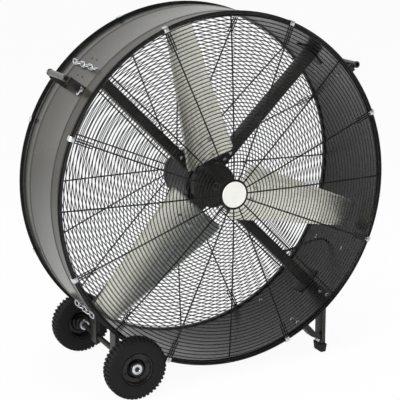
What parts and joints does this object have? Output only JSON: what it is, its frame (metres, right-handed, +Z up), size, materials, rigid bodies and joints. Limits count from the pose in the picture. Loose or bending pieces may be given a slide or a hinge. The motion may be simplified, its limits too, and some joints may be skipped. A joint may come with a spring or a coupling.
{
  "type": "drum fan",
  "caption": "Large steel drum fan with wire guards, twisted metal blades on a motor held by diagonal arms, two wheels, two legs with rubber feet, and side handles.",
  "frame": {"origin": "on the floor, under the middle of the drum", "axes": "+Z up, the fan blows towards -Y, and +X is the side with the legs and the control box"},
  "size_m": [1.12, 0.51, 1.155],
  "materials": {
    "black_steel": "satin black powder coat, slightly worn",
    "motor_paint": "satin black paint",
    "guard_wire": "gloss black dipped wire",
    "zinc": "bright zinc plate",
    "blade_sheet": "mill finish with brushed grain",
    "tyre_rubber": "matte black",
    "soft_rubber": "matte black",
    "box_plastic": "fine grained black",
    "badge_paint": "plain off-white",
    "motor_core": "bare laminated iron"
  },
  "bodies": {
    "frame": {"drum_shell": "black_steel", "motor_arm_upper_right": "black_steel", "motor_arm_upper_left": "black_steel", "motor_arm_lower_left": "black_steel", "motor_arm_lower_right": "black_steel", "axle": "black_steel", "axle_post_front": "black_steel", "axle_post_rear": "black_steel", "leg_front": "black_steel", "leg_rear": "black_steel", "leg_brace_front": "black_steel", "leg_brace_rear": "black_steel", "handle_bracket_left": "black_steel", "handle_bracket_right": "black_steel", "motor_housing": "motor_paint", "motor_front_bell": "motor_paint", "motor_rear_bell": "motor_paint", "front_grille": "guard_wire", "rear_grille": "guard_wire", "grille_clip_1": "zinc", "grille_clip_2": "zinc", "grille_clip_3": "zinc", "grille_clip_4": "zinc", "grille_clip_5": "zinc", "grille_clip_6": "zinc", "grille_clip_7": "zinc", "grille_clip_8": "zinc", "axle_collar_front": "zinc", "axle_collar_rear": "zinc", "chain_upper": "zinc", "chain_lower": "zinc", "run_capacitor": "zinc", "motor_bearing_front": "zinc", "motor_bearing_rear": "zinc", "rubber_foot_front": "soft_rubber", "rubber_foot_rear": "soft_rubber", "handle_grip_left": "soft_rubber", "handle_grip_right": "soft_rubber", "motor_lead": "soft_rubber", "control_box": "box_plastic", "speed_switch": "box_plastic", "cord_gland": "box_plastic", "badge_disc": "badge_paint", "motor_stator": "motor_core"},
    "rotor": {"motor_rotor": "motor_core", "blade_hub": "motor_paint", "blade_1": "blade_sheet", "blade_2": "blade_sheet", "blade_3": "blade_sheet"},
    "wheel_front": {"tyre_front": "tyre_rubber", "wheel_rim_front": "motor_paint", "wheel_bearing_front": "zinc"},
    "wheel_rear": {"tyre_rear": "tyre_rubber", "wheel_rim_rear": "motor_paint", "wheel_bearing_rear": "zinc"},
    "knob": {"speed_knob": "box_plastic"},
    "link": {"quick_link": "zinc"}
  },
  "joints": [
    {"name": "fan_spin", "type": "hinge", "parent": "frame", "child": "rotor", "pos_m": [0, 0, 0.595], "axis": [0, 1, 0], "continuous": true},
    {"name": "wheel_front_spin", "type": "hinge", "parent": "frame", "child": "wheel_front", "pos_m": [-0.346, -0.23, 0.098], "axis": [0, 1, 0], "continuous": true},
    {"name": "wheel_rear_spin", "type": "hinge", "parent": "frame", "child": "wheel_rear", "pos_m": [-0.346, 0.23, 0.098], "axis": [0, 1, 0], "continuous": true},
    {"name": "speed_turn", "type": "hinge", "parent": "frame", "child": "knob", "pos_m": [0.5064, -0.1, 0.3143], "axis": [0, -1, 0], "range_deg": [0, 120]},
    {"name": "link_swing", "type": "hinge", "parent": "frame", "child": "link", "pos_m": [-0.4423, -0.083, 0.9395], "axis": [0, 1, 0], "range_deg": [0, 20]}
  ]
}
